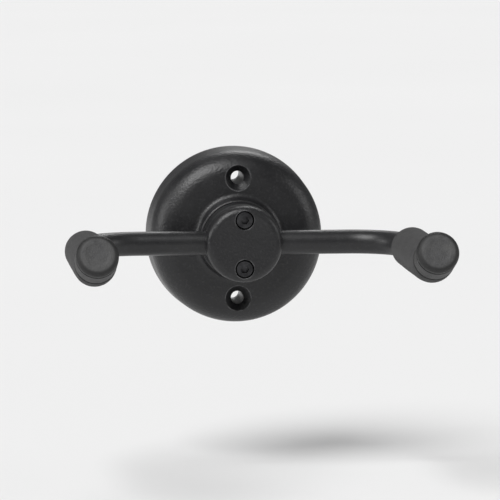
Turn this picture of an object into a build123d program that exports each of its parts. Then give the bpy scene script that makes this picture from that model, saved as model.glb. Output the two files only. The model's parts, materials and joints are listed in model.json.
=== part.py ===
from build123d import *
import math
import os

# Wall hanger for a trumpet: a bent rod cradle with padded arms turns on a wall base.
# Millimetres. The wall face is the plane Y = 0 and the pivot axis is the Y axis, so
# the hanger stands out from the wall towards -Y, with +X to the right and +Z up.
# "Out" is a distance from the wall, measured along the pivot axis.

# ---- driving dimensions ----
ARM_SPACING = 127.0  # between the axes of the two arms
ROD_D = 9.5
SLEEVE_D = 16.0  # outside of the padded arms
CROSSBAR_OUT = 42.0  # wall to the axis of the rod's cross bar
ROD_BEND_R = 22.0  # of the rod's axis, between the cross bar and an arm
ARM_OUT = 121.4  # wall to the corner where an arm turns up
TIP_BEND_R = 25.0
TIP_RISE_DEG = 20.0
SLEEVE_START_OUT = 67.0
TIP_STRAIGHT = 1.0  # sleeve between the tip bend and the cap
CAP_LENGTH = 12.0
CAP_SOCKET = 8.0  # how far the rod goes into its cap
CAP_EDGE_R = 2.5
CAP_GROOVE_BACK = 3.4  # from the cap's face to the middle of the groove behind its rim
CAP_GROOVE_R = 0.6

BASE_D = 70.0
PAD_D = 66.0
PAD_THICK = 1.5
PAD_ACCESS_D = 7.5  # over each screw of the back plate
PLATE_D = 62.0
PLATE_THICK = 2.0
PLATE_CLEARANCE = 0.2  # round the plate, in its seat
PLATE_LEDGE = 1.5  # width of the ledge that the plate's rim rests on
BASE_DRAFT = 1.0  # how far the side leans in by the shoulder
BASE_SHOULDER_OUT = 24.5
BASE_SHOULDER_R = 10.0
BASE_FACE_OUT = 26.0  # at the foot of the boss
BASE_WALL = 4.0
BOSS_D = 31.0
BOSS_FOOT = 1.2
BOSS_FOOT_R = 2.5
BOSS_EDGE_R = 0.8
BOSS_OUT = 30.0
BOSS_REAR_OUT = 20.0
BOSS_REAR_D = 26.0

WALL_SCREW_SPACING = 48.0
WALL_SCREW_HOLE_D = 5.2
WALL_SCREW_HEAD_D = 10.0
WALL_SCREW_SEAT_OUT = 24.0  # wide end of the countersink, just under the housing's face
WALL_POST_D = 14.0

PLATE_SCREW_CIRCLE_D = 53.0
PLATE_SCREW_ANGLES = (30.0, 150.0, 210.0, 330.0)
PLATE_SCREW_D = 3.0
PLATE_SCREW_HEAD_D = 5.6
PLATE_SCREW_LENGTH = 8.0
PLATE_BOSS_D = 7.2
PLATE_BOSS_OUT = 19.0

SHAFT_D = 10.0
SHAFT_CLEARANCE = 0.05  # on the radius, in the bushings
END_PLAY = 0.05  # between faces that slide on each other
THREAD_D = 8.0
BUSH_D = 14.0
BUSH_FLANGE_D = 24.0
BUSH_FLANGE_THICK = 1.5
BUSH_BARREL = 4.8
FRICTION_THICK = 1.5
WASHER_D = 22.0
WASHER_THICK = 1.55
SPRING_D = 16.0
SPRING_HEIGHT = 1.2
SPRING_THICK = 0.9
SPRING_COUNT = 2
NUT_ACROSS_FLATS = 13.0
NUT_HEX_HEIGHT = 5.5
NUT_HEIGHT = 8.0
NUT_COLLAR_D = 12.0
INSERT_D = 10.0
INSERT_THICK = 1.9
STEM_PAST_NUT = 0.5

HUB_D = 30.0
HUB_EDGE = 1.0
CLAMP_GAP = 0.4
CLAMP_CAP_OUT = 51.0
CLAMP_CAP_EDGE_R = 3.0
CLAMP_SCREW_OFFSET = 9.6  # above and below the pivot axis
CLAMP_SCREW_D = 4.0
CLAMP_SCREW_HEAD_D = 7.0
CLAMP_SCREW_HEAD = 4.0
CLAMP_SCREW_SOCKET = 3.0  # across flats
CLAMP_SCREW_TIP_OUT = 34.5
CLAMP_HOLE_EXTRA = 0.4  # on the diameter of a clearance hole
PIN_D = 3.0
PIN_LENGTH = 9.0
PIN_TIP_OUT = 42.0

# ---- distances along the pivot axis that follow from them ----
PLATE_OUT = PAD_THICK + PLATE_THICK
FRONT_FLANGE_OUT = BOSS_OUT + BUSH_FLANGE_THICK
REAR_FLANGE_OUT = BOSS_REAR_OUT - BUSH_FLANGE_THICK
FRICTION_OUT = REAR_FLANGE_OUT - FRICTION_THICK
WASHER_OUT = FRICTION_OUT - END_PLAY
SPRING_OUT = WASHER_OUT - WASHER_THICK
NUT_OUT = SPRING_OUT - SPRING_COUNT * SPRING_HEIGHT
NUT_REAR_OUT = NUT_OUT - NUT_HEIGHT
STEM_END_OUT = NUT_REAR_OUT - STEM_PAST_NUT
SHOULDER_OUT = FRICTION_OUT + 0.5 * FRICTION_THICK
HUB_OUT = FRONT_FLANGE_OUT + END_PLAY
HUB_SPLIT_OUT = CROSSBAR_OUT - 0.5 * CLAMP_GAP
CAP_SPLIT_OUT = CROSSBAR_OUT + 0.5 * CLAMP_GAP

ROD_R = 0.5 * ROD_D
SLEEVE_R = 0.5 * SLEEVE_D
ARM_X = 0.5 * ARM_SPACING
TIP_RISE = math.radians(TIP_RISE_DEG)
TIP_TANGENT = TIP_BEND_R * math.tan(0.5 * TIP_RISE)
WALL_SCREW_HEIGHTS = (0.5 * WALL_SCREW_SPACING, -0.5 * WALL_SCREW_SPACING)
CLAMP_SCREW_HEIGHTS = (CLAMP_SCREW_OFFSET, -CLAMP_SCREW_OFFSET)


# ---- helpers: shapes on the pivot axis are drawn with Z as "out", then stood on the wall ----
def on_wall(shape):
    return Plane.XZ * shape


def rod_between(diameter, start, end, x=0.0, z=0.0):
    """A cylinder from one distance out to another, its axis at x, z on the wall."""
    middle = 0.5 * (start + end)
    return Pos(x, z, middle) * Cylinder(0.5 * diameter, abs(end - start))


def cone_between(start_d, end_d, start, end, x=0.0, z=0.0):
    middle = 0.5 * (start + end)
    return Pos(x, z, middle) * Cone(0.5 * start_d, 0.5 * end_d, end - start)


def ring(outer_d, inner_d, start, end):
    return rod_between(outer_d, start, end) - rod_between(inner_d, start, end)


def turned(outline):
    """The solid that a closed outline of (radius, out) points sweeps round the pivot axis."""
    face = make_face(Plane.XZ * Polyline(*outline, close=True))
    return revolve(face, Axis.Z)


def plate_screw_places():
    radius = 0.5 * PLATE_SCREW_CIRCLE_D
    for angle in PLATE_SCREW_ANGLES:
        turn = math.radians(angle)
        yield radius * math.cos(turn), radius * math.sin(turn)


# ---- wall base ----
def wall_pad():
    pad = rod_between(PAD_D, 0.0, PAD_THICK)
    for height in WALL_SCREW_HEIGHTS:
        pad -= rod_between(WALL_SCREW_HOLE_D, 0.0, PAD_THICK, z=height)
    for x, z in plate_screw_places():
        pad -= rod_between(PAD_ACCESS_D, 0.0, PAD_THICK, x, z)
    return on_wall(pad)


def back_plate():
    plate = rod_between(PLATE_D, PAD_THICK, PLATE_OUT)
    for height in WALL_SCREW_HEIGHTS:
        plate -= rod_between(WALL_SCREW_HOLE_D, PAD_THICK, PLATE_OUT, z=height)
    for x, z in plate_screw_places():
        plate -= plate_screw_head(x, z)
        plate -= rod_between(PLATE_SCREW_D, PAD_THICK, PLATE_OUT, x, z)
    return on_wall(plate)


def plate_screw_head(x, z):
    depth = 0.5 * (PLATE_SCREW_HEAD_D - PLATE_SCREW_D)
    return cone_between(PLATE_SCREW_HEAD_D, PLATE_SCREW_D, PAD_THICK, PAD_THICK + depth, x, z)


def plate_screw_shank(x, z):
    return rod_between(PLATE_SCREW_D, PAD_THICK, PAD_THICK + PLATE_SCREW_LENGTH, x, z)


def back_plate_screws():
    slot_width = 0.8
    slot_depth = 0.6
    screws = []
    for x, z in plate_screw_places():
        screw = plate_screw_head(x, z) + plate_screw_shank(x, z)
        for turn in (0.0, 90.0):
            slot = Box(0.6 * PLATE_SCREW_HEAD_D, slot_width, 2.0 * slot_depth)
            screw -= Pos(x, z, PAD_THICK) * Rot(0, 0, turn) * slot
        screws.append(screw)
    return on_wall(Compound(children=screws))


def rounded(face, radius_out, fillet_r):
    """The outline face with its corner at (radius, out) rounded."""
    corner = Vector(radius_out[0], 0.0, radius_out[1])
    return fillet(face.vertices().sort_by_distance(corner)[0], fillet_r)


def housing_shell():
    """The cup: a drafted side, a rounded shoulder, a near flat face and a boss for the pivot."""
    base_r = 0.5 * BASE_D
    boss_r = 0.5 * BOSS_D
    shoulder = (base_r - BASE_DRAFT, BASE_SHOULDER_OUT)
    boss_foot = (boss_r + BOSS_FOOT, BASE_FACE_OUT)
    boss_edge = (boss_r, BOSS_OUT)
    outline = Polyline(
        (0.0, PAD_THICK),
        (base_r, PAD_THICK),
        shoulder,
        boss_foot,
        boss_edge,
        (0.0, BOSS_OUT),
        close=True,
    )
    face = make_face(Plane.XZ * outline)
    face = rounded(face, shoulder, BASE_SHOULDER_R)
    face = rounded(face, boss_foot, BOSS_FOOT_R)
    face = rounded(face, boss_edge, BOSS_EDGE_R)
    return revolve(face, Axis.Z)


def housing_cavity():
    ledge_r = 0.5 * PLATE_D - PLATE_LEDGE
    bowl_out = BASE_FACE_OUT - BASE_WALL
    bowl = turned(
        [
            (0.0, PLATE_OUT),
            (ledge_r, PLATE_OUT),
            (ledge_r, bowl_out - BASE_SHOULDER_R),
            (ledge_r - BASE_SHOULDER_R, bowl_out - 1.0),
            (0.0, bowl_out),
        ]
    )
    boss = rod_between(BOSS_REAR_D, BOSS_REAR_OUT, BOSS_OUT)
    plate_seat = rod_between(PLATE_D + 2.0 * PLATE_CLEARANCE, PAD_THICK, PLATE_OUT)
    return bowl - boss + plate_seat


def housing_ribs():
    """Webs from the pivot boss to the side wall, inside the front of the cup."""
    thick = 2.4
    length = 0.5 * BASE_D - BASE_WALL
    web = Pos(0.5 * length, 0, BOSS_REAR_OUT) * Box(length, thick, BASE_WALL)
    webs = [Rot(0, 0, turn) * web for turn in range(0, 360, 60)]
    stack_room = rod_between(BOSS_REAR_D, PAD_THICK, BOSS_REAR_OUT)
    return Part() + webs - stack_room


def base_housing():
    shell = housing_shell()
    housing = shell - housing_cavity()
    for height in WALL_SCREW_HEIGHTS:
        housing += rod_between(WALL_POST_D, PLATE_OUT, BASE_FACE_OUT - 1.0, z=height)
    for x, z in plate_screw_places():
        housing += rod_between(PLATE_BOSS_D, PLATE_OUT, PLATE_BOSS_OUT, x, z)
    housing += housing_ribs()
    housing = housing & shell
    head_depth = 0.5 * (WALL_SCREW_HEAD_D - WALL_SCREW_HOLE_D)
    for height in WALL_SCREW_HEIGHTS:
        housing -= rod_between(WALL_SCREW_HEAD_D, WALL_SCREW_SEAT_OUT, BOSS_OUT, z=height)
        housing -= rod_between(WALL_SCREW_HOLE_D, PAD_THICK, WALL_SCREW_SEAT_OUT, z=height)
        housing -= cone_between(
            WALL_SCREW_HOLE_D,
            WALL_SCREW_HEAD_D,
            WALL_SCREW_SEAT_OUT - head_depth,
            WALL_SCREW_SEAT_OUT,
            z=height,
        )
    for x, z in plate_screw_places():
        housing -= plate_screw_shank(x, z)
    housing -= rod_between(BUSH_D, BOSS_REAR_OUT - 1.0, BOSS_OUT)
    return on_wall(housing)


def bushing(flange_start, flange_end, barrel_start, barrel_end):
    bush = rod_between(BUSH_FLANGE_D, flange_start, flange_end)
    bush += rod_between(BUSH_D, barrel_start, barrel_end)
    bore_d = SHAFT_D + 2.0 * SHAFT_CLEARANCE
    bush -= rod_between(bore_d, REAR_FLANGE_OUT, FRONT_FLANGE_OUT)
    return on_wall(bush)


def front_bushing():
    return bushing(BOSS_OUT, FRONT_FLANGE_OUT, BOSS_OUT - BUSH_BARREL, BOSS_OUT)


def rear_bushing():
    return bushing(REAR_FLANGE_OUT, BOSS_REAR_OUT, BOSS_REAR_OUT, BOSS_REAR_OUT + BUSH_BARREL)


def friction_disc():
    bore_d = SHAFT_D + 4.0 * SHAFT_CLEARANCE
    return on_wall(ring(BUSH_FLANGE_D, bore_d, FRICTION_OUT, REAR_FLANGE_OUT))


# ---- cradle: pivot ----
def pivot_stem():
    """A turned head that carries the rod in a half-round seat, a shaft and a threaded end."""
    head = turned(
        [
            (0.0, HUB_OUT),
            (0.5 * HUB_D - HUB_EDGE, HUB_OUT),
            (0.5 * HUB_D, HUB_OUT + HUB_EDGE),
            (0.5 * HUB_D, HUB_SPLIT_OUT),
            (0.0, HUB_SPLIT_OUT),
        ]
    )
    head -= rod_seat()
    for height in CLAMP_SCREW_HEIGHTS:
        head -= rod_between(CLAMP_SCREW_D, CLAMP_SCREW_TIP_OUT, HUB_SPLIT_OUT, z=height)
    head -= rod_between(PIN_D, PIN_TIP_OUT - PIN_LENGTH, HUB_SPLIT_OUT)
    shaft = rod_between(SHAFT_D, SHOULDER_OUT, HUB_OUT)
    thread_end = 1.0
    thread = rod_between(THREAD_D, STEM_END_OUT + thread_end, SHOULDER_OUT)
    lead_in = cone_between(THREAD_D - 2.0, THREAD_D, STEM_END_OUT, STEM_END_OUT + thread_end)
    return on_wall(head + shaft + thread + lead_in)


def rod_seat():
    return Pos(0, 0, CROSSBAR_OUT) * Rot(0, 90, 0) * Cylinder(ROD_R, 2.0 * HUB_D)


def pressure_washer():
    return on_wall(ring(WASHER_D, THREAD_D + 0.4, SPRING_OUT, WASHER_OUT))


def spring_washers():
    """Conical washers set rim to rim, each one turned over from the last."""
    inner_r = 0.5 * THREAD_D + 0.2
    outer_r = 0.5 * SPRING_D
    washers = []
    for place in range(SPRING_COUNT):
        front = SPRING_OUT - place * SPRING_HEIGHT
        rear = front - SPRING_HEIGHT
        inner_front, outer_rear = front, rear
        if place % 2:
            inner_front, outer_rear = front - (SPRING_HEIGHT - SPRING_THICK), front - SPRING_THICK
        outline = [
            (inner_r, inner_front),
            (inner_r, inner_front - SPRING_THICK),
            (outer_r, outer_rear),
            (outer_r, outer_rear + SPRING_THICK),
        ]
        washers.append(turned(outline))
    return on_wall(Compound(children=washers))


def lock_nut():
    hex_part = extrude(RegularPolygon(0.5 * NUT_ACROSS_FLATS, 6, major_radius=False), NUT_HEX_HEIGHT)
    body = Pos(0, 0, NUT_OUT - NUT_HEX_HEIGHT) * hex_part
    corner_r = 0.5 * NUT_ACROSS_FLATS / math.cos(math.radians(30))
    edge = 0.8
    body &= turned(
        [
            (0.0, NUT_OUT),
            (corner_r - edge, NUT_OUT),
            (corner_r, NUT_OUT - 0.5 * edge),
            (corner_r, NUT_OUT - NUT_HEX_HEIGHT + 0.5 * edge),
            (corner_r - edge, NUT_OUT - NUT_HEX_HEIGHT),
            (0.0, NUT_OUT - NUT_HEX_HEIGHT),
        ]
    )
    body += rod_between(NUT_COLLAR_D, NUT_REAR_OUT, NUT_OUT - NUT_HEX_HEIGHT)
    body -= rod_between(THREAD_D, NUT_REAR_OUT, NUT_OUT)
    body -= rod_between(INSERT_D, insert_rear_out(), insert_rear_out() + INSERT_THICK)
    return on_wall(body)


def insert_rear_out():
    """The locking ring sits just inside the rolled lip of the nut."""
    lip = 0.4
    return NUT_REAR_OUT + lip


def nut_insert():
    start = insert_rear_out()
    return on_wall(ring(INSERT_D, THREAD_D, start, start + INSERT_THICK))


def rod_locating_pin():
    return on_wall(rod_between(PIN_D, PIN_TIP_OUT - PIN_LENGTH, PIN_TIP_OUT))


def clamp_cap():
    cap = rod_between(HUB_D, CAP_SPLIT_OUT, CLAMP_CAP_OUT)
    rim = cap.edges().filter_by(GeomType.CIRCLE).sort_by(Axis.Z)[-1]
    cap = fillet(rim, CLAMP_CAP_EDGE_R)
    cap -= rod_seat()
    seat_out = clamp_screw_seat_out()
    for height in CLAMP_SCREW_HEIGHTS:
        hole_d = CLAMP_SCREW_D + CLAMP_HOLE_EXTRA
        recess_d = CLAMP_SCREW_HEAD_D + CLAMP_HOLE_EXTRA
        cap -= rod_between(hole_d, CAP_SPLIT_OUT, seat_out, z=height)
        cap -= rod_between(recess_d, seat_out, CLAMP_CAP_OUT, z=height)
    return on_wall(cap)


def clamp_screw_seat_out():
    below_face = 0.4
    return CLAMP_CAP_OUT - CLAMP_SCREW_HEAD - below_face


def clamp_screws():
    seat_out = clamp_screw_seat_out()
    head_out = seat_out + CLAMP_SCREW_HEAD
    socket_depth = 2.2
    screws = []
    for height in CLAMP_SCREW_HEIGHTS:
        screw = rod_between(CLAMP_SCREW_HEAD_D, seat_out, head_out, z=height)
        rim = screw.edges().filter_by(GeomType.CIRCLE).sort_by(Axis.Z)[-1]
        screw = chamfer(rim, 0.4)
        screw += rod_between(CLAMP_SCREW_D, CLAMP_SCREW_TIP_OUT, seat_out, z=height)
        socket = extrude(RegularPolygon(0.5 * CLAMP_SCREW_SOCKET, 6, major_radius=False), socket_depth)
        screw -= Pos(0, height, head_out - socket_depth) * socket
        screws.append(screw)
    return on_wall(Compound(children=screws))


# ---- cradle: bent rod, arm sleeves and tip caps ----
def tip_corner(side):
    return Vector(side * ARM_X, -ARM_OUT, 0.0)


def tip_direction():
    return Vector(0.0, -math.cos(TIP_RISE), math.sin(TIP_RISE))


def cap_start(side):
    """Where the sleeve ends and the cap begins, on the arm's axis."""
    return tip_corner(side) + tip_direction() * (TIP_TANGENT + TIP_STRAIGHT)


def rod_path():
    points = [
        cap_start(-1) + tip_direction() * CAP_SOCKET,
        tip_corner(-1),
        Vector(-ARM_X, -CROSSBAR_OUT, 0.0),
        Vector(ARM_X, -CROSSBAR_OUT, 0.0),
        tip_corner(1),
        cap_start(1) + tip_direction() * CAP_SOCKET,
    ]
    return FilletPolyline(*points, radius=[TIP_BEND_R, ROD_BEND_R, ROD_BEND_R, TIP_BEND_R])


def swept(diameter, path):
    return sweep((path ^ 0) * Circle(0.5 * diameter), path=path)


def cradle_rod():
    rod = swept(ROD_D, rod_path())
    return rod - on_wall(rod_between(PIN_D, 0.0, PIN_TIP_OUT))


def arm_sleeve(side):
    start = Vector(side * ARM_X, -SLEEVE_START_OUT, 0.0)
    path = FilletPolyline(start, tip_corner(side), cap_start(side), radius=TIP_BEND_R)
    return swept(SLEEVE_D, path) - swept(ROD_D, path)


def tip_cap(side):
    cap = Pos(0, 0, 0.5 * CAP_LENGTH) * Cylinder(SLEEVE_R, CAP_LENGTH)
    rim = cap.edges().filter_by(GeomType.CIRCLE).sort_by(Axis.Z)[-1]
    cap = fillet(rim, CAP_EDGE_R)
    cap -= Pos(0, 0, CAP_LENGTH - CAP_GROOVE_BACK) * Torus(SLEEVE_R, CAP_GROOVE_R)
    cap -= Pos(0, 0, 0.5 * CAP_SOCKET) * Cylinder(ROD_R, CAP_SOCKET)
    place = Plane(origin=cap_start(side), x_dir=(1, 0, 0), z_dir=tip_direction())
    return place * cap


NODES = {
    "wall_pad": wall_pad,
    "back_plate": back_plate,
    "back_plate_screws": back_plate_screws,
    "base_housing": base_housing,
    "front_bushing": front_bushing,
    "rear_bushing": rear_bushing,
    "friction_disc": friction_disc,
    "pivot_stem": pivot_stem,
    "pressure_washer": pressure_washer,
    "spring_washers": spring_washers,
    "lock_nut": lock_nut,
    "nut_insert": nut_insert,
    "rod_locating_pin": rod_locating_pin,
    "clamp_cap": clamp_cap,
    "clamp_screws": clamp_screws,
    "cradle_rod": cradle_rod,
    "arm_sleeve_left": lambda: arm_sleeve(-1),
    "arm_sleeve_right": lambda: arm_sleeve(1),
    "tip_cap_left": lambda: tip_cap(-1),
    "tip_cap_right": lambda: tip_cap(1),
}

os.makedirs("parts", exist_ok=True)
for name, make in NODES.items():
    export_step(make(), f"parts/{name}.step")
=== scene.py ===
"""Looks of a wall trumpet hanger: materials, foam arm sleeves, moulded tip caps, rubber pad, studio."""

import json
import math

import bmesh
import bpy
from mathutils import Matrix, Vector, noise


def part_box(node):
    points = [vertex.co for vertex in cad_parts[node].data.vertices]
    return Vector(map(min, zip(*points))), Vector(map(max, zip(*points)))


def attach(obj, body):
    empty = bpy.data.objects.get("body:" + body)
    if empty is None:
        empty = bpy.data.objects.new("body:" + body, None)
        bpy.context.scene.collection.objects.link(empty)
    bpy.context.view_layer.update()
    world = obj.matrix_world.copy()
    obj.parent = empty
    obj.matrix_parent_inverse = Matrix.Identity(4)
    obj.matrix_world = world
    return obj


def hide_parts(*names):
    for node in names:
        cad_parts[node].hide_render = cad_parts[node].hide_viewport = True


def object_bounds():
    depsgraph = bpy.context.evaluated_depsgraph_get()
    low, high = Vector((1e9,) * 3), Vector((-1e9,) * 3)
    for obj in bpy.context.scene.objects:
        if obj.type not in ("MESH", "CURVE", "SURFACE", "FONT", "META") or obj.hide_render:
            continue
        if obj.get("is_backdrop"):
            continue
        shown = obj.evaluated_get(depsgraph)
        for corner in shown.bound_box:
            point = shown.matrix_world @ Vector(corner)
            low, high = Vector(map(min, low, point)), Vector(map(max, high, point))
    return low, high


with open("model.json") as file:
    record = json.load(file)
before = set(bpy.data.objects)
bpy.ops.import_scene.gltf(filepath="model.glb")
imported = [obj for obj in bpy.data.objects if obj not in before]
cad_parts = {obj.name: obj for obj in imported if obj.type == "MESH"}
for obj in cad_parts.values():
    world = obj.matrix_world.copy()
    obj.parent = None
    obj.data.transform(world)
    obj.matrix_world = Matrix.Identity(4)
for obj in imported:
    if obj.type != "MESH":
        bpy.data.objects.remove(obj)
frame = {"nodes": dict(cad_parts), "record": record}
nodes = frame["nodes"]
cad_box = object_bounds()
noise.seed_set(1)  # else noise_vector differs from run to run

MM = 0.001
SIDES = ("left", "right")
SEGMENTS = 128  # round a turned piece

# ---- padded arms: the bend is the CAD's, the rest of their size comes from its boxes ----
TIP_RISE = math.radians(20)  # of the arms' upturned ends
TIP_BEND_R = 25 * MM
TIP_STRAIGHT = 1 * MM  # sleeve between the tip bend and the cap
ROD_R = 4.75 * MM
ROD_GAP = 0.05 * MM  # foam and rubber stay this far off the rod
SEAM_GAP = 0.04 * MM  # between a sleeve and its cap
SEAM_R = 0.8 * MM  # rounding of the two edges that meet at the seam
CUT_EDGE_R = 0.35 * MM  # of the sleeve's knife-cut end
CAP_LENGTH = 12 * MM
CAP_SOCKET = 8 * MM
CAP_EDGE_R = 2.5 * MM
CAP_DISH_R = 4.6 * MM  # shallow dish in the middle of a cap's face
CAP_DISH_DEPTH = 0.25 * MM
CAP_GROOVE_BACK = 3.4 * MM  # from the face to the middle of the moulded groove behind its rim
CAP_GROOVE_R = 0.6 * MM
CAP_LEAD_IN = 0.4 * MM  # bevel round the mouth of a cap's socket
CAP_SIDE_PAINTED_SHADE = 0.6  # painted shade on a cap's side, as a share of the rim's
PAINTED_SHADE_FADE = 0.7 * MM  # over which a painted shade at a rim or seam fades out
FOLDS = ((0.22, 0.10), (0.56, 0.16), (0.88, 0.11))  # share of the way round the bend, depth in mm
FOLD_WIDTH = 0.55 * MM  # half the width of one crease
FOAM_LUMPS = (0.10 * MM, 7 * MM)  # depth and size of the skin's soft unevenness
FOAM_DENTS = (0.04 * MM, 1.6 * MM)
CUT_WAVER = (0.12 * MM, 2.5 * MM)  # of the knife-cut face
CAP_WAVER = (0.03 * MM, 3 * MM)  # of a moulded cap

# ---- rubber wall pad ----
PAD_EDGE_R = 0.3 * MM
RIB_PITCH = 1.8 * MM
RIB_DEPTH = 0.35 * MM
RIB_GROOVE = ((0.10, 0), (0.30, 1), (0.45, 1), (0.65, 0))  # share of the pitch, share of the depth
RIB_INNER_R = 4 * MM
RIB_MARGIN = 1.6 * MM  # plain rim outside the ribs
PLATE_SCREW_HEAD_R = 2.8 * MM
PAD_ACCESS_R = 3.75 * MM  # of the holes over the back plate's screws
WALL_HOLE_R = 2.6 * MM
PAD_COLLAR = 1.4 * MM  # plain ring round each hole
PAD_SKIN = 0.02 * MM  # by which a collar stays under the pad's faces
WELD = 0.003 * MM  # points nearer than this are one

# ---- camera and studio, with angles in degrees ----
CAMERA_AZIMUTH = -6
CAMERA_ELEVATION = 6
CAMERA_DISTANCE = 1.6
CAMERA_CLIP_END = 30.0
OBJECT_SHARE = 0.74  # of the picture's width that the hanger takes
FLOOR_DROP = 20 * MM  # floor below the lowest point that the turning arms reach
FLOOR_REACH = 12.0  # from its middle to each side
STUDIO_WHITE = 0.86  # of the world as the camera sees it
STUDIO_LIGHT = 0.18  # of the world as a light
LIGHTS = (  # name, azimuth, elevation, energy, angular width
    ("key", -40, 50, 2.75, 36),
    ("left", -84, 14, 0.70, 22),
    ("right", 74, 20, 0.50, 22),
    ("back", 168, 38, 0.60, 26),
)


# ---- node trees ----
def new_material(name):
    material = bpy.data.materials.new(name)
    material.use_nodes = True
    return material


def principled(material):
    return material.node_tree.nodes["Principled BSDF"]


def add_node(tree, kind, settings, inputs):
    """A node with these properties set, and these inputs set or linked."""
    node = tree.nodes.new("ShaderNode" + kind)
    for name, value in settings.items():
        setattr(node, name, value)
    for name, value in inputs.items():
        if isinstance(value, bpy.types.NodeSocket):
            tree.links.new(value, node.inputs[name])
        else:
            node.inputs[name].default_value = value
    return node


def maths(tree, operation, *values):
    return add_node(tree, "Math", {"operation": operation}, dict(enumerate(values))).outputs[0]


def place(tree, stretch=(1, 1, 1)):
    """The point on the object in metres, stretched along its axes."""
    point = add_node(tree, "TexCoord", {}, {}).outputs["Object"]
    mapped = add_node(tree, "Mapping", {}, {"Vector": point, "Scale": stretch})
    return mapped.outputs["Vector"]


def grain(tree, size, detail=2.0, roughness=0.5, stretch=(1, 1, 1)):
    """Soft noise with features about this many metres across, from 0 to 1."""
    inputs = {
        "Vector": place(tree, stretch),
        "Scale": 1.0 / size,
        "Detail": detail,
        "Roughness": roughness,
    }
    return add_node(tree, "TexNoise", {}, inputs).outputs[0]


def pores(tree, size):
    """1 in the middle of round pores about this many metres apart, and 0 between them."""
    inputs = {"Vector": place(tree), "Scale": 1.0 / size}
    distance = add_node(tree, "TexVoronoi", {}, inputs).outputs["Distance"]
    return spread(tree, distance, 0.34, 0.14)


def spread(tree, value, low, high, to_low=0.0, to_high=1.0):
    """A value's range from low to high, laid over another range and held inside it."""
    inputs = {
        "Value": value,
        "From Min": low,
        "From Max": high,
        "To Min": to_low,
        "To Max": to_high,
    }
    return add_node(tree, "MapRange", {}, inputs).outputs["Result"]


def blend_colour(tree, factor, first, second):
    node = add_node(tree, "Mix", {"data_type": "RGBA"}, {"Factor": factor})
    for socket, colour in (("A_Color", first), ("B_Color", second)):
        target = next(s for s in node.inputs if s.identifier == socket)
        if isinstance(colour, bpy.types.NodeSocket):
            tree.links.new(colour, target)
        else:
            target.default_value = (*colour, 1.0)
    return next(s for s in node.outputs if s.identifier == "Result_Color")


def painted_shade_mark(tree):
    """The mark of painted shade, from 0 to 1, that a mesh carries where its rim or seam is shaded darker
    than the rest.
    """
    settings = {"attribute_name": "dark", "attribute_type": "GEOMETRY"}
    return add_node(tree, "Attribute", settings, {}).outputs["Fac"]


def soft_edge(tree, radius):
    """Normals that round off sharp edges."""
    return add_node(tree, "Bevel", {"samples": 6}, {"Radius": radius}).outputs["Normal"]


def edge_mask(tree, radius, size):
    """1 on exposed edges, broken up by noise, and 0 elsewhere."""
    true_normal = add_node(tree, "NewGeometry", {}, {}).outputs["Normal"]
    settings = {"operation": "DOT_PRODUCT"}
    both = {0: soft_edge(tree, radius), 1: true_normal}
    cosine = add_node(tree, "VectorMath", settings, both).outputs["Value"]
    edge = spread(tree, cosine, 0.99, 0.93)
    patchy = spread(tree, grain(tree, size, 3.0, 0.6), 0.40, 0.60)
    return maths(tree, "MULTIPLY", edge, patchy)


def bump(tree, height, depth, normal=None):
    """Normals of a surface whose height, from 0 to 1, is this many metres."""
    inputs = {"Height": height, "Distance": depth, "Strength": 1.0}
    if normal is not None:
        inputs["Normal"] = normal
    return add_node(tree, "Bump", {}, inputs).outputs["Normal"]


def finish_with(material, colour, roughness, normal, **constants):
    """Links the main shader's colour, roughness and normal, and sets its constants."""
    tree = material.node_tree
    shader = principled(material)
    for name, value in (("Base Color", colour), ("Roughness", roughness), ("Normal", normal)):
        tree.links.new(value, shader.inputs[name])
    for name, value in constants.items():
        shader.inputs[name.replace("_", " ")].default_value = value
    return material


# ---- materials ----
def powder_coat(name, sand_size, depth):
    """Sand-textured matte black coat with painted glints on the sand's tops, rubbed a little on its edges.
    """
    material = new_material(name)
    tree = material.node_tree
    sand = spread(tree, grain(tree, sand_size, 2.0, 0.65), 0.34, 0.66)
    peel = spread(tree, grain(tree, 3.0 * MM, 1.0), 0.3, 0.7)
    cloud = spread(tree, grain(tree, 18 * MM, 3.0, 0.6), 0.3, 0.7)
    wear = edge_mask(tree, 0.8 * MM, 4 * MM)
    coat = blend_colour(tree, cloud, (0.006, 0.006, 0.007), (0.012, 0.012, 0.013))
    # Painted glints: the tops of the sand grains are lighter.
    coat = blend_colour(tree, spread(tree, sand, 0.7, 1.0, 0.0, 0.5), coat, (0.028, 0.028, 0.030))
    colour = blend_colour(tree, spread(tree, wear, 0.0, 1.0, 0.0, 0.75), coat, (0.16, 0.16, 0.165))
    roughness = spread(tree, maths(tree, "SUBTRACT", cloud, wear), -0.5, 1.0, 0.30, 0.44)
    texture = maths(tree, "MULTIPLY_ADD", sand, 0.65, maths(tree, "MULTIPLY", peel, 0.35))
    normal = bump(tree, texture, depth, soft_edge(tree, 0.4 * MM))
    return finish_with(material, colour, roughness, normal)


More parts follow.
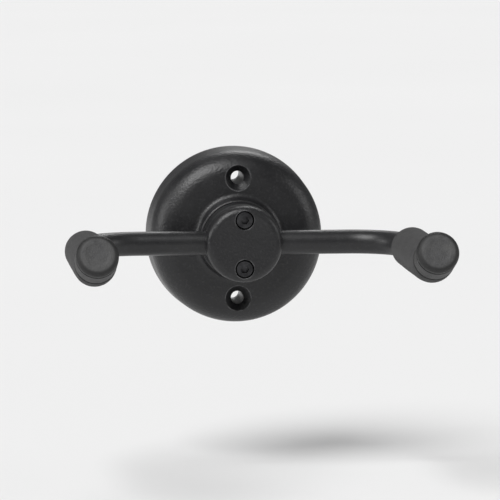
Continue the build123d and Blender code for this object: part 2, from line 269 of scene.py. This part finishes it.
def foam(name, pore, depth, painted_shade_colour):
    """Closed-cell foam rubber: dull charcoal, with fine pores and faint mottling, and painted shade in the
    pores and at a marked seam.
    """
    material = new_material(name)
    tree = material.node_tree
    pit = pores(tree, pore)
    fine = spread(tree, grain(tree, 0.45 * MM, 2.0, 0.6), 0.3, 0.7)
    mottle = spread(tree, grain(tree, 3.0 * MM, 4.0, 0.7), 0.30, 0.70)
    uneven = spread(tree, grain(tree, 1.8 * MM, 1.0), 0.35, 0.65, 0.25, 1.0)
    deep = maths(tree, "MULTIPLY", pit, uneven)
    skin = blend_colour(tree, mottle, (0.026, 0.026, 0.027), (0.047, 0.046, 0.046))
    # Painted shade in the pores.
    skin = blend_colour(tree, spread(tree, deep, 0.0, 1.0, 0.0, 0.8), skin, painted_shade_colour)
    # Painted shade at the seam, where the mesh is marked.
    colour = blend_colour(tree, spread(tree, painted_shade_mark(tree), 0.0, 1.0, 0.0, 0.85), skin, painted_shade_colour)
    fine_height = maths(tree, "MULTIPLY", fine, 0.3)
    height = maths(tree, "SUBTRACT", fine_height, maths(tree, "MULTIPLY", deep, 0.7))
    roughness = spread(tree, mottle, 0.0, 1.0, 0.84, 0.94)
    normal = bump(tree, height, depth)
    return finish_with(
        material,
        colour,
        roughness,
        normal,
        Sheen_Weight=0.05,
        Sheen_Roughness=0.45,
        Specular_IOR_Level=0.3,
    )


def cap_rubber():
    """Moulded rubber: dull and finely grained, with a faint bloom, and painted shade on its rim, seam and
    side, where it is also smoother.
    """
    material = new_material("cap_rubber")
    tree = material.node_tree
    fine = spread(tree, grain(tree, 0.55 * MM, 2.0, 0.6), 0.3, 0.7)
    mottle = spread(tree, grain(tree, 2.4 * MM, 4.0, 0.7), 0.32, 0.68)
    bloom = spread(tree, grain(tree, 6 * MM, 3.0, 0.6), 0.42, 0.7, 0.0, 0.6)
    # Painted shade on the rim, seam and side, from the mesh's mark: near black and smoother.
    dark = painted_shade_mark(tree)
    skin = blend_colour(tree, mottle, (0.038, 0.038, 0.039), (0.065, 0.065, 0.066))
    skin = blend_colour(tree, spread(tree, fine, 0.45, 1.0, 0.0, 0.6), skin, (0.082, 0.082, 0.083))
    skin = blend_colour(tree, bloom, skin, (0.084, 0.083, 0.081))
    colour = blend_colour(tree, spread(tree, dark, 0.0, 1.0, 0.0, 0.92), skin, (0.010, 0.010, 0.010))
    roughness = spread(tree, maths(tree, "SUBTRACT", mottle, dark), -1.0, 1.0, 0.46, 0.70)
    normal = bump(tree, fine, 0.09 * MM)
    return finish_with(material, colour, roughness, normal, Specular_IOR_Level=0.4)


def pad_rubber():
    """Black sheet rubber with a trace of the talc that it was packed in."""
    material = new_material("pad_rubber")
    tree = material.node_tree
    fine = grain(tree, 0.5 * MM, 2.0, 0.6)
    talc = spread(tree, grain(tree, 7 * MM, 4.0, 0.65), 0.48, 0.72, 0.0, 0.45)
    colour = blend_colour(tree, talc, (0.024, 0.024, 0.024), (0.075, 0.074, 0.071))
    roughness = spread(tree, talc, 0.0, 0.45, 0.66, 0.86)
    normal = bump(tree, fine, 0.04 * MM, soft_edge(tree, 0.2 * MM))
    return finish_with(material, colour, roughness, normal, Specular_IOR_Level=0.4)


def metal(name, dark, light, smooth, rough, stretch=(1, 1, 1)):
    """Bare or plated metal with fine machining or rolling marks and a little staining."""
    material = new_material(name)
    tree = material.node_tree
    marks = grain(tree, 0.6 * MM, 3.0, 0.7, stretch)
    stain = spread(tree, grain(tree, 3.5 * MM, 3.0, 0.6), 0.35, 0.7)
    colour = blend_colour(tree, stain, dark, light)
    both = maths(tree, "ADD", marks, stain)
    roughness = spread(tree, both, 0.5, 1.5, rough, smooth)
    normal = bump(tree, marks, 0.008 * MM, soft_edge(tree, 0.15 * MM))
    return finish_with(material, colour, roughness, normal, Metallic=1.0)


def acetal():
    """Natural acetal, turned, faintly translucent."""
    material = new_material("acetal")
    tree = material.node_tree
    rings = grain(tree, 0.5 * MM, 2.0, 0.5, (1, 6, 1))
    cloud = spread(tree, grain(tree, 6 * MM, 2.0, 0.5), 0.3, 0.7)
    colour = blend_colour(tree, cloud, (0.68, 0.66, 0.60), (0.75, 0.73, 0.67))
    normal = bump(tree, rings, 0.01 * MM, soft_edge(tree, 0.2 * MM))
    return finish_with(material, colour, spread(tree, rings, 0.3, 0.7, 0.32, 0.44), normal)


def fibre():
    """Pressed friction fibre with short strands in it."""
    material = new_material("fibre")
    tree = material.node_tree
    strands = spread(tree, grain(tree, 0.7 * MM, 4.0, 0.7, (1, 1, 3)), 0.33, 0.67)
    colour = blend_colour(tree, strands, (0.11, 0.05, 0.024), (0.21, 0.10, 0.05))
    roughness = spread(tree, strands, 0.0, 1.0, 0.75, 0.9)
    return finish_with(material, colour, roughness, bump(tree, strands, 0.02 * MM))


def nylon():
    """Blue nylon of the nut's locking ring, slightly cloudy."""
    material = new_material("nylon")
    tree = material.node_tree
    cloud = spread(tree, grain(tree, 1.5 * MM, 2.0, 0.5), 0.3, 0.7)
    colour = blend_colour(tree, cloud, (0.04, 0.10, 0.37), (0.06, 0.14, 0.46))
    roughness = spread(tree, cloud, 0.0, 1.0, 0.38, 0.5)
    return finish_with(material, colour, roughness, bump(tree, cloud, 0.005 * MM))


def make_materials():
    """One material for each of the record's slots, by the slot's name."""
    return {
        "powder_coat": powder_coat("powder_coat", 1.0 * MM, 0.085 * MM),
        # The last colour is the foam's painted shade in the pores and at the seam.
        "foam": foam("foam", 0.8 * MM, 0.14 * MM, (0.014, 0.014, 0.014)),
        "cap_rubber": cap_rubber(),
        "pad_rubber": pad_rubber(),
        "zinc_steel": metal("zinc_steel", (0.47, 0.48, 0.50), (0.63, 0.64, 0.66), 0.24, 0.42, (1, 1, 9)),
        "stainless": metal("stainless", (0.50, 0.49, 0.47), (0.60, 0.59, 0.57), 0.25, 0.40),
        "black_oxide": metal("black_oxide", (0.035, 0.035, 0.037), (0.075, 0.075, 0.078), 0.30, 0.46),
        "spring_steel": metal("spring_steel", (0.19, 0.18, 0.17), (0.27, 0.26, 0.25), 0.40, 0.55),
        "acetal": acetal(),
        "fibre": fibre(),
        "nylon": nylon(),
    }


def dress_cad_nodes(materials):
    """Gives every CAD node the material of its slot in the record. The rod has a finer coat."""
    for subpart in frame["record"]["subparts"]:
        mesh = nodes[subpart["node"]].data
        mesh.materials.clear()
        mesh.materials.append(materials[subpart["material_slot"]])
    rod = nodes["cradle_rod"].data
    rod.materials[0] = powder_coat("powder_coat_rod", 0.7 * MM, 0.04 * MM)


# ---- turned and swept pieces ----
def arc(middle, radius, start, end, steps):
    """Points of an arc about a middle, both as (distance, radius) pairs, angles in degrees."""
    points = []
    for step in range(steps + 1):
        angle = math.radians(start + (end - start) * step / steps)
        points.append((middle[0] + radius * math.cos(angle), middle[1] + radius * math.sin(angle)))
    return points


def run(start, end, pitch):
    """Points strictly between two (distance, radius) pairs, about this far apart."""
    count = max(1, round(math.dist(start, end) / pitch))
    shares = [step / count for step in range(1, count)]
    return [tuple(a + (b - a) * share for a, b in zip(start, end)) for share in shares]


def outline_of(corners, pitch):
    """A list of points and arcs, with the straight stretches between them filled in."""
    points = []
    for corner in corners:
        stretch = corner if isinstance(corner, list) else [corner]
        if points:
            points += run(points[-1], stretch[0], pitch)
        points += stretch
    return points


def turned(name, outline, at, closed, painted_shade_at=None):
    """A mesh from an outline of (distance, radius) pairs taken round a line. A radius of 0 is a pole.

    at(distance, radius, angle) places a point, and the painted shade function (distance, radius) gives it
    painted shade from 0 to 1.
    """
    mesh = bmesh.new()
    # The 'dark' layer holds each point's painted shade.
    dark = mesh.verts.layers.float.new("dark")
    rings = []
    for distance, radius in outline:
        count = SEGMENTS if radius > 0 else 1
        angles = [math.tau * step / SEGMENTS for step in range(count)]
        ring = [mesh.verts.new(at(distance, radius, angle)) for angle in angles]
        for vertex in ring:
            vertex[dark] = painted_shade_at(distance, radius) if painted_shade_at else 0.0
        rings.append(ring)
    pairs = list(zip(rings, rings[1:]))
    if closed:
        pairs.append((rings[-1], rings[0]))
    for first, second in pairs:
        for step in range(SEGMENTS):
            after = (step + 1) % SEGMENTS
            corners = [
                first[step % len(first)],
                first[after % len(first)],
                second[after % len(second)],
                second[step % len(second)],
            ]
            mesh.faces.new(dict.fromkeys(corners)).smooth = True
    bmesh.ops.recalc_face_normals(mesh, faces=mesh.faces)
    data = bpy.data.meshes.new(name)
    mesh.to_mesh(data)
    mesh.free()
    piece = bpy.data.objects.new(name, data)
    bpy.context.scene.collection.objects.link(piece)
    return piece


def fade(value, edge):
    """0 below an edge, rising to 1 over the width in which a painted shade fades out."""
    return min(max((value - edge) / PAINTED_SHADE_FADE, 0.0), 1.0)


class ArmLine:
    """The middle line of one padded arm: straight out from the wall, round the tip bend, and on."""

    def __init__(self, side):
        low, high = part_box(f"arm_sleeve_{side}")
        self.radius = 0.5 * (high.x - low.x)
        self.x = 0.5 * (high.x + low.x)
        self.z = low.z + self.radius
        self.start_y = high.y
        self.bend = TIP_BEND_R * TIP_RISE
        tangent = TIP_BEND_R * math.tan(0.5 * TIP_RISE)
        end_y = low.y + self.radius * math.sin(TIP_RISE)
        corner_y = end_y + (tangent + TIP_STRAIGHT) * math.cos(TIP_RISE)
        self.straight = self.start_y - corner_y - tangent
        self.length = self.straight + self.bend + TIP_STRAIGHT

    def at(self, distance, radius, angle):
        """A point this far along the line and this far off it. An angle of 90 degrees is the top."""
        turn = min(max(distance - self.straight, 0.0), self.bend) / TIP_BEND_R
        past = max(distance - self.straight - self.bend, 0.0)
        middle = Vector((self.x, self.start_y - min(distance, self.straight), self.z))
        middle += TIP_BEND_R * Vector((0.0, -math.sin(turn), 1.0 - math.cos(turn)))
        middle += past * Vector((0.0, -math.cos(turn), math.sin(turn)))
        across = Vector((math.cos(angle), 0.0, 0.0))
        up = math.sin(angle) * Vector((0.0, math.sin(turn), math.cos(turn)))
        return middle + radius * (across + up)


def fold_depth(line, distance, angle):
    """Creases where the foam is pressed together, on the inside of the tip bend."""
    top = max(0.0, math.sin(angle)) ** 2
    wander = 0.5 * MM * noise.noise(Vector((5.0 * math.cos(angle), 3.0 * line.x / MM, 1.7)))
    depth = 0.0
    for share, size in FOLDS:
        offset = (distance - line.straight - share * line.bend - wander) / FOLD_WIDTH
        depth += size * MM * math.exp(-offset * offset)
    around = (distance - line.straight - 0.5 * line.bend) / (0.8 * line.bend)
    swell = 0.06 * MM * math.exp(-around * around)
    return top * (swell - depth)


def waver(point, depth, size):
    """Smooth unevenness at a point, of this depth and with lumps of this size."""
    return depth * noise.noise(point / size)


def foam_offset(line, distance, angle):
    """How far the foam's skin stands off its true round shape."""
    point = line.at(distance, line.radius, angle)
    return waver(point, *FOAM_LUMPS) + waver(point, *FOAM_DENTS) + fold_depth(line, distance, angle)


def arm_sleeve(side, skin, cut_face):
    """The foam tube of one arm, with a knife-cut end, a rounded end at the cap and folds in its bend."""
    line = ArmLine(side)
    inner = ROD_R + ROD_GAP
    outer = line.radius
    end = line.length - SEAM_GAP
    wall = [
        arc((CUT_EDGE_R, outer - CUT_EDGE_R), CUT_EDGE_R, 180, 90, 4),
        arc((end - SEAM_R, outer - SEAM_R), SEAM_R, 90, 0, 6),
        (end, inner),
    ]
    bore = [(end, inner), (0.0, inner)]
    face = [(0.0, inner), (0.0, outer - CUT_EDGE_R)]
    outline = outline_of(wall, 0.45 * MM)
    outline += outline_of(bore, 1.5 * MM)[1:]
    outline += outline_of(face, 0.5 * MM)[1:-1]

    def at(distance, radius, angle):
        if radius <= inner:
            return line.at(distance, radius, angle)
        share = (radius - inner) / (outer - inner)
        off = share * share * foam_offset(line, distance, angle)
        point = line.at(distance, radius + off, angle)
        if distance < 0.1 * MM:
            point.y -= share * waver(point, *CUT_WAVER)
        return point

    # Painted shade on the sleeve's rounded end, where it meets its cap.
    def painted_shade_at(distance, radius):
        return fade(distance, end - SEAM_R - 0.2 * MM)

    piece = turned(f"foam_sleeve_{side}", outline, at, closed=True, painted_shade_at=painted_shade_at)
    piece.data.materials.append(skin)
    piece.data.materials.append(cut_face)
    for polygon in piece.data.polygons:
        if polygon.normal.y > 0.9 and polygon.center.y > line.start_y - CUT_EDGE_R:
            polygon.material_index = 1
    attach(piece, "cradle")
    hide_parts(f"arm_sleeve_{side}")


def tip_cap(side, rubber):
    """A moulded cap: a socket for the rod, a groove behind its rounded rim and a faintly dished face."""
    line = ArmLine(side)
    inner = ROD_R + ROD_GAP
    outer = line.radius
    start = line.length
    bottom = start + CAP_SOCKET + ROD_GAP
    end = start + CAP_LENGTH
    groove = end - CAP_GROOVE_BACK
    corners = [
        (bottom, 0.0),
        (bottom, inner),
        (start + CAP_LEAD_IN, inner),
        (start, inner + CAP_LEAD_IN),
        arc((start + SEAM_R, outer - SEAM_R), SEAM_R, 180, 90, 6),
        arc((groove, outer), CAP_GROOVE_R, 180, 360, 8),
        arc((end - CAP_EDGE_R, outer - CAP_EDGE_R), CAP_EDGE_R, 90, 0, 14),
        (end, CAP_DISH_R),
        (end - 0.6 * CAP_DISH_DEPTH, CAP_DISH_R - 0.4 * MM),
        (end - CAP_DISH_DEPTH, CAP_DISH_R - 1.2 * MM),
        (end - CAP_DISH_DEPTH, 0.0),
    ]

    def at(distance, radius, angle):
        point = line.at(distance, radius, angle)
        outside = radius > inner or distance > bottom + MM
        depth, size = CAP_WAVER
        return point + depth * noise.noise_vector(point / size) if outside else point

    # Painted shade on the cap's rim and groove, at its seam with the sleeve, and fainter along its side.
    def painted_shade_at(distance, radius):
        rim = min(fade(distance, groove - 2.0 * CAP_GROOVE_R), fade(radius, outer - 0.8 * CAP_EDGE_R))
        seam = 1.0 - fade(distance, start + 0.5 * SEAM_R)
        side = CAP_SIDE_PAINTED_SHADE * fade(radius, outer - SEAM_R)
        return max(rim, seam, side)

    outline = outline_of(corners, 0.5 * MM)
    piece = turned(f"tip_cap_moulded_{side}", outline, at, closed=False, painted_shade_at=painted_shade_at)
    piece.data.materials.append(rubber)
    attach(piece, "cradle")
    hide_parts(f"tip_cap_{side}")


def pad_outline(radius, thick):
    """The pad's section: concentric ribs on the wall side, a plain side against the plate."""
    corners = [(0.0, 0.0), (0.0, RIB_INNER_R)]
    ribs = int((radius - RIB_MARGIN - RIB_INNER_R) / RIB_PITCH)
    for rib in range(ribs):
        groove = RIB_INNER_R + rib * RIB_PITCH
        corners += [(-deep * RIB_DEPTH, groove + share * RIB_PITCH) for share, deep in RIB_GROOVE]
    corners += [
        arc((-PAD_EDGE_R, radius - PAD_EDGE_R), PAD_EDGE_R, 0, 90, 4),
        arc((PAD_EDGE_R - thick, radius - PAD_EDGE_R), PAD_EDGE_R, 90, 180, 4),
        (-thick, 0.0),
    ]
    return outline_of(corners, 4 * MM)


def combine(piece, operation, x, z, radius, near, far):
    """Adds a round disc to the piece, or cuts it out. It lies between two planes of constant y."""
    disc = bmesh.new()
    bmesh.ops.create_cone(
        disc, cap_ends=True, segments=64, radius1=radius, radius2=radius, depth=abs(far - near)
    )
    bmesh.ops.rotate(disc, verts=disc.verts, matrix=Matrix.Rotation(0.25 * math.tau, 3, "X"))
    bmesh.ops.translate(disc, verts=disc.verts, vec=(x, 0.5 * (near + far), z))
    data = bpy.data.meshes.new("disc")
    disc.to_mesh(data)
    disc.free()
    tool = bpy.data.objects.new("disc", data)
    bpy.context.scene.collection.objects.link(tool)
    modifier = piece.modifiers.new("disc", "BOOLEAN")
    modifier.operation = operation
    modifier.object = tool
    bpy.context.view_layer.update()
    evaluated = piece.evaluated_get(bpy.context.evaluated_depsgraph_get())
    piece.data = bpy.data.meshes.new_from_object(evaluated)
    piece.modifiers.clear()
    bpy.data.objects.remove(tool)


def weld(piece):
    """Joins the near-double points that cutting leaves, and leaves a closed mesh of flat triangles."""
    mesh = bmesh.new()
    mesh.from_mesh(piece.data)
    bmesh.ops.remove_doubles(mesh, verts=mesh.verts, dist=WELD)
    bmesh.ops.dissolve_degenerate(mesh, edges=mesh.edges, dist=WELD)
    bmesh.ops.triangulate(mesh, faces=mesh.faces)
    bmesh.ops.holes_fill(mesh, edges=mesh.edges, sides=3)
    for face in mesh.faces:
        face.smooth = False
    mesh.to_mesh(piece.data)
    mesh.free()


def wall_pad(rubber):
    """The ribbed rubber disc between the base and the wall, with its six holes."""
    low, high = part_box("wall_pad")
    radius = 0.5 * (high.x - low.x)
    thick = high.y - low.y

    def at(distance, ring, angle):
        return Vector((ring * math.cos(angle), high.y + distance, ring * math.sin(angle)))

    piece = turned("ribbed_wall_pad", pad_outline(radius, thick), at, closed=False)
    pattern = next(m for m in frame["record"]["mounts"] if m["kind"] == "bolt_pattern")
    wall_hole_z = 0.5 * pattern["dims"]["spacing_y_mm"] * MM
    screws_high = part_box("back_plate_screws")[1]
    screw_x = screws_high.x - PLATE_SCREW_HEAD_R
    screw_z = screws_high.z - PLATE_SCREW_HEAD_R
    holes = [(0.0, up * wall_hole_z, WALL_HOLE_R) for up in (-1, 1)]
    for across in (-1, 1):
        holes += [(across * screw_x, up * screw_z, PAD_ACCESS_R) for up in (-1, 1)]
    for x, z, hole_r in holes:
        combine(piece, "UNION", x, z, hole_r + PAD_COLLAR, high.y - PAD_SKIN, low.y + PAD_SKIN)
        combine(piece, "DIFFERENCE", x, z, hole_r, high.y + thick, low.y - thick)
    weld(piece)
    piece.data.materials.clear()
    piece.data.materials.append(rubber)
    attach(piece, "wall_base")
    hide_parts("wall_pad")


# ---- studio ----
def add_floor():
    """A plain, pale, fully matt floor, clear of the arms however far the cradle is turned."""
    low, high = cad_box
    height = -max(high.x, -low.x) - FLOOR_DROP
    data = bpy.data.meshes.new("studio_floor")
    corners = [(x * FLOOR_REACH, y * FLOOR_REACH, height) for x, y in ((-1, -1), (1, -1), (1, 1), (-1, 1))]
    data.from_pydata(corners, [], [(0, 1, 2, 3)])
    floor = bpy.data.objects.new("studio_floor", data)
    bpy.context.scene.collection.objects.link(floor)
    material = new_material("studio_floor")
    tree = material.node_tree
    cloud = grain(tree, 0.4, 2.0)
    colour = blend_colour(tree, cloud, (0.80, 0.80, 0.80), (0.82, 0.82, 0.82))
    shader = principled(material)
    tree.links.new(colour, shader.inputs["Base Color"])
    shader.inputs["Roughness"].default_value = 1.0
    shader.inputs["Specular IOR Level"].default_value = 0.0
    data.materials.append(material)
    floor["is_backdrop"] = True


def add_world():
    """White all round, dimmer as a light than it looks, so that the lamps give the shading."""
    world = bpy.data.worlds.new("studio")
    bpy.context.scene.world = world
    world.use_nodes = True
    tree = world.node_tree
    tree.nodes.clear()
    seen = add_node(tree, "Background", {}, {"Color": (1, 1, 1, 1), "Strength": STUDIO_WHITE})
    light = add_node(tree, "Background", {}, {"Color": (1, 1, 1, 1), "Strength": STUDIO_LIGHT})
    path = add_node(tree, "LightPath", {}, {})
    inputs = {0: path.outputs["Is Camera Ray"], 1: light.outputs[0], 2: seen.outputs[0]}
    choice = add_node(tree, "MixShader", {}, inputs)
    output = tree.nodes.new("ShaderNodeOutputWorld")
    tree.links.new(choice.outputs[0], output.inputs["Surface"])


def direction(azimuth, elevation):
    """A unit vector from the object, azimuth 0 towards -Y and 90 towards +X, in degrees."""
    turn = math.radians(azimuth)
    rise = math.radians(elevation)
    return Vector((math.sin(turn) * math.cos(rise), -math.cos(turn) * math.cos(rise), math.sin(rise)))


def add_light(name, azimuth, elevation, energy, width):
    """A far-off lamp in this direction, angles in degrees."""
    data = bpy.data.lights.new(name, "SUN")
    data.energy = energy
    data.angle = math.radians(width)
    light = bpy.data.objects.new(name, data)
    light.rotation_mode = "QUATERNION"
    light.rotation_quaternion = direction(azimuth, elevation).to_track_quat("Z", "Y")
    bpy.context.scene.collection.objects.link(light)


def add_camera():
    """Looks at the hanger from the front, a little from the left and above."""
    low, high = cad_box
    data = bpy.data.cameras.new("camera")
    camera = bpy.data.objects.new("camera", data)
    towards = direction(CAMERA_AZIMUTH, CAMERA_ELEVATION)
    camera.location = 0.5 * (low + high) + CAMERA_DISTANCE * towards
    camera.rotation_mode = "QUATERNION"
    camera.rotation_quaternion = towards.to_track_quat("Z", "Y")
    seen_width = (high.x - low.x) / OBJECT_SHARE
    data.lens = data.sensor_width * CAMERA_DISTANCE / seen_width
    data.clip_end = CAMERA_CLIP_END
    bpy.context.scene.collection.objects.link(camera)
    bpy.context.scene.camera = camera


def write_sizes():
    """Builds the CAD's box and the visual model's box as plain lists, which are then thrown away."""
    boxes = {"cad": cad_box, "visual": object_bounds()}
    {name: [list(corner) for corner in box] for name, box in boxes.items()}


materials = make_materials()
dress_cad_nodes(materials)
# The cut face's painted shade in its open cells is near black.
cut_foam = foam("foam_cut", 1.0 * MM, 0.28 * MM, (0.008, 0.008, 0.008))
for side in SIDES:
    arm_sleeve(side, materials["foam"], cut_foam)
    tip_cap(side, materials["cap_rubber"])
wall_pad(materials["pad_rubber"])
add_floor()
add_world()
for lamp in LIGHTS:
    add_light(*lamp)
add_camera()
bpy.context.scene.view_settings.view_transform = "Standard"
write_sizes()
